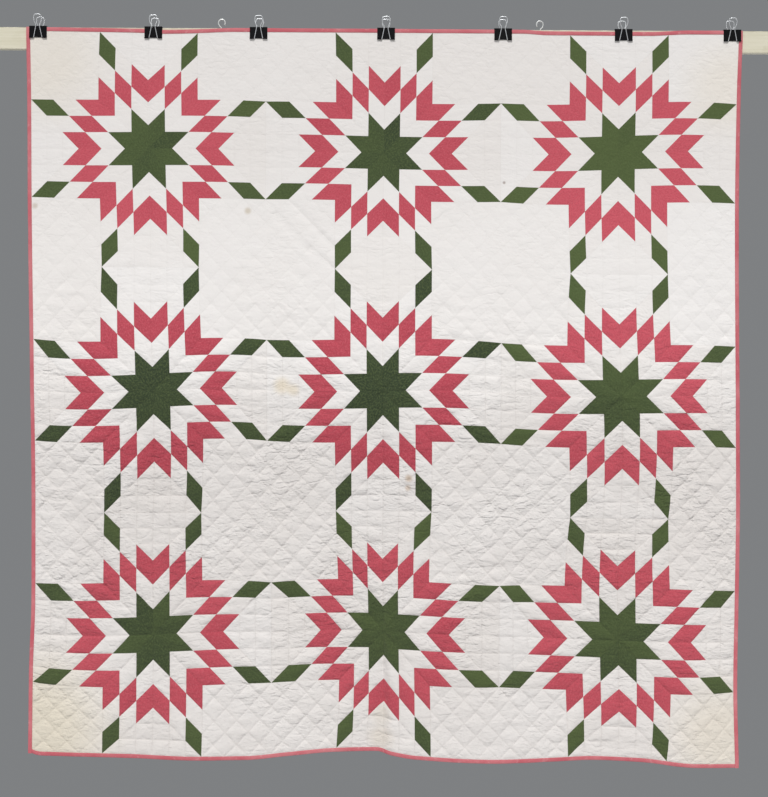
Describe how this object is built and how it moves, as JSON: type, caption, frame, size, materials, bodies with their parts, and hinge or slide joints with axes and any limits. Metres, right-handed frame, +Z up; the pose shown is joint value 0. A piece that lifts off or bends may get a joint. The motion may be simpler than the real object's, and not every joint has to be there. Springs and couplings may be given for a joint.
{
  "type": "star quilt hanging from a clipped batten",
  "caption": "Pieced and quilted cotton star quilt with a bound edge, held by spring clips to a painted batten that hangs from two screw hooks.",
  "frame": {"origin": "middle of the batten's back face, between the two hooks, which hang on nails in the wall", "axes": "+Z up, +X to the right seen from the front along the batten, the quilt's front faces -Y and the batten's back faces +Y"},
  "size_m": [2.438, 0.0645, 2.1539],
  "materials": {
    "muslin": "washed plain-weave cotton, quilted",
    "pink_cotton": "washed plain-weave cotton",
    "cream_paint": "satin cream paint",
    "black_enamel": "satin black enamel",
    "nickel_wire": "bright nickel plate",
    "bright_hook": "bright zinc plate"
  },
  "bodies": {
    "root": {"quilt": "muslin", "binding_top": "pink_cotton", "binding_right": "pink_cotton", "binding_bottom": "pink_cotton", "binding_left": "pink_cotton", "batten": "cream_paint", "clip_1_body": "black_enamel", "clip_1_handle_front": "nickel_wire", "clip_1_handle_back": "nickel_wire", "clip_2_body": "black_enamel", "clip_2_handle_front": "nickel_wire", "clip_2_handle_back": "nickel_wire", "clip_3_body": "black_enamel", "clip_3_handle_front": "nickel_wire", "clip_3_handle_back": "nickel_wire", "clip_4_body": "black_enamel", "clip_4_handle_front": "nickel_wire", "clip_4_handle_back": "nickel_wire", "clip_5_body": "black_enamel", "clip_5_handle_front": "nickel_wire", "clip_5_handle_back": "nickel_wire", "clip_6_body": "black_enamel", "clip_6_handle_front": "nickel_wire", "clip_6_handle_back": "nickel_wire", "clip_7_body": "black_enamel", "clip_7_handle_front": "nickel_wire", "clip_7_handle_back": "nickel_wire", "hook_left": "bright_hook", "hook_right": "bright_hook"}
  },
  "joints": []
}
